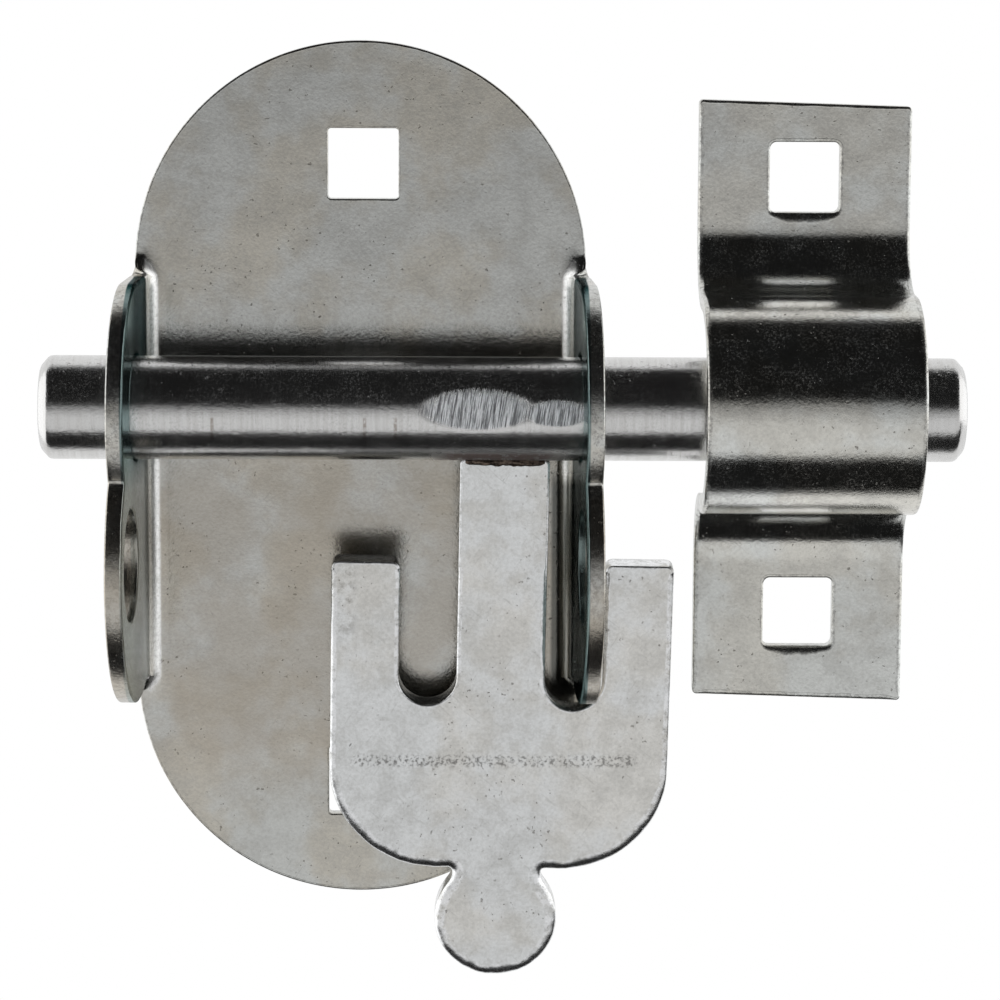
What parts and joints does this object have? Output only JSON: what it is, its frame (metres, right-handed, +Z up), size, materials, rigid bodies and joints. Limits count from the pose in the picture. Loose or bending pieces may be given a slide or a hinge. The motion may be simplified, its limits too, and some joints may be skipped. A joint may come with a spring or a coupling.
{
  "type": "oval padbolt",
  "caption": "Oval padbolt: round bar in two ears of an oval plate, welded forked hasp that drops over a padlock eye, and a separate bent strip keeper.",
  "frame": {"origin": "back face of the plate, half way between the ears and level with the bolt's axis", "axes": "+X is the way the bolt is thrown, towards the keeper; +Z is up; -Y is the front, away from the door"},
  "size_m": [0.1064, 0.0287, 0.1118],
  "materials": {
    "zinc_sheet": "satin bright zinc plate with a faint warm tint",
    "zinc_bar": "bright zinc plate on drawn bar",
    "zinc_hasp": "bright zinc plate with rolled edges",
    "weld": "dull plated weld with a brown heat tint"
  },
  "bodies": {
    "plate_body": {"back_plate": "zinc_sheet"},
    "bolt_body": {"bolt": "zinc_bar"},
    "hasp_body": {"hasp": "zinc_hasp", "hasp_weld": "weld"},
    "keeper_body": {"keeper": "zinc_sheet"}
  },
  "joints": [
    {"name": "bolt_slide", "type": "slide", "parent": "plate_body", "child": "bolt_body", "axis": [1, 0, 0], "range_m": [-0.0005, 0.002]},
    {"name": "hasp_turn", "type": "hinge", "parent": "bolt_body", "child": "hasp_body", "pos_m": [0.0171, -0.014, 0], "axis": [-1, 0, 0], "range_deg": [-1, 200]},
    {"name": "keeper_gap", "type": "slide", "parent": "plate_body", "child": "keeper_body", "axis": [1, 0, 0], "range_m": [-0.002, 0.034]}
  ]
}
